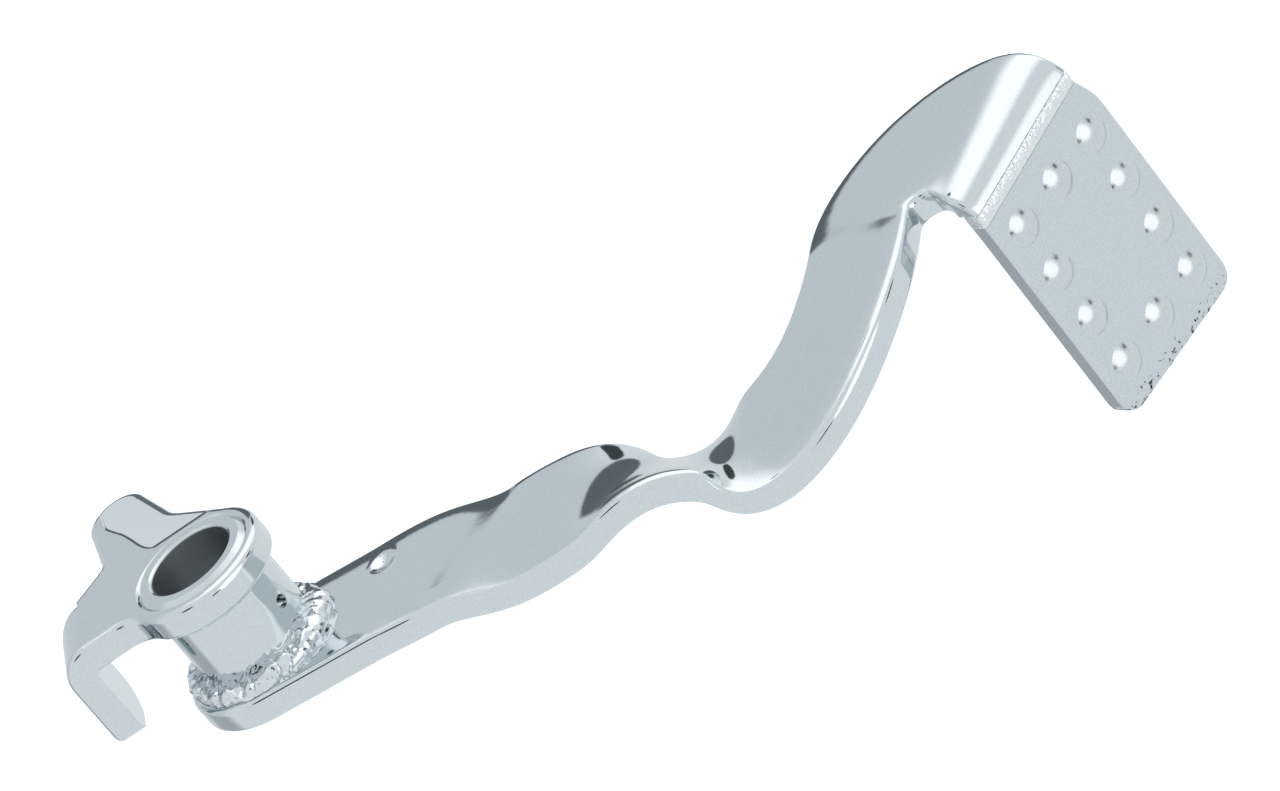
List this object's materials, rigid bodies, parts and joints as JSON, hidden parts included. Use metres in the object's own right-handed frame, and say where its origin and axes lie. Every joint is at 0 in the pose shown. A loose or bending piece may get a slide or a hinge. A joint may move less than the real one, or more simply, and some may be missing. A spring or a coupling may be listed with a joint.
{
  "type": "rear brake pedal",
  "caption": "Chrome-plated rear foot brake pedal: bent flat-bar arm with a dimpled tread plate, welded pivot tube and a rod bracket with horn and folded hook.",
  "frame": {"origin": "centre of the pivot bore, halfway along the pivot tube", "axes": "+Y along the pivot bore toward the machine (inboard), +Z square to the tread of the foot pad and out of its top face, +X toward the front of the machine, the way the arm reaches; right-handed"},
  "size_m": [0.1702, 0.0766, 0.149],
  "materials": {
    "chrome_bar": "bright chrome plating on polished steel bar",
    "chrome_weld": "chrome plating over a rippled weld bead"
  },
  "bodies": {
    "root": {"lever_arm": "chrome_bar", "foot_pad": "chrome_bar", "pivot_tube": "chrome_bar", "rod_bracket": "chrome_bar", "arm_weld": "chrome_weld", "bracket_weld": "chrome_weld", "pad_weld": "chrome_weld"}
  },
  "joints": []
}
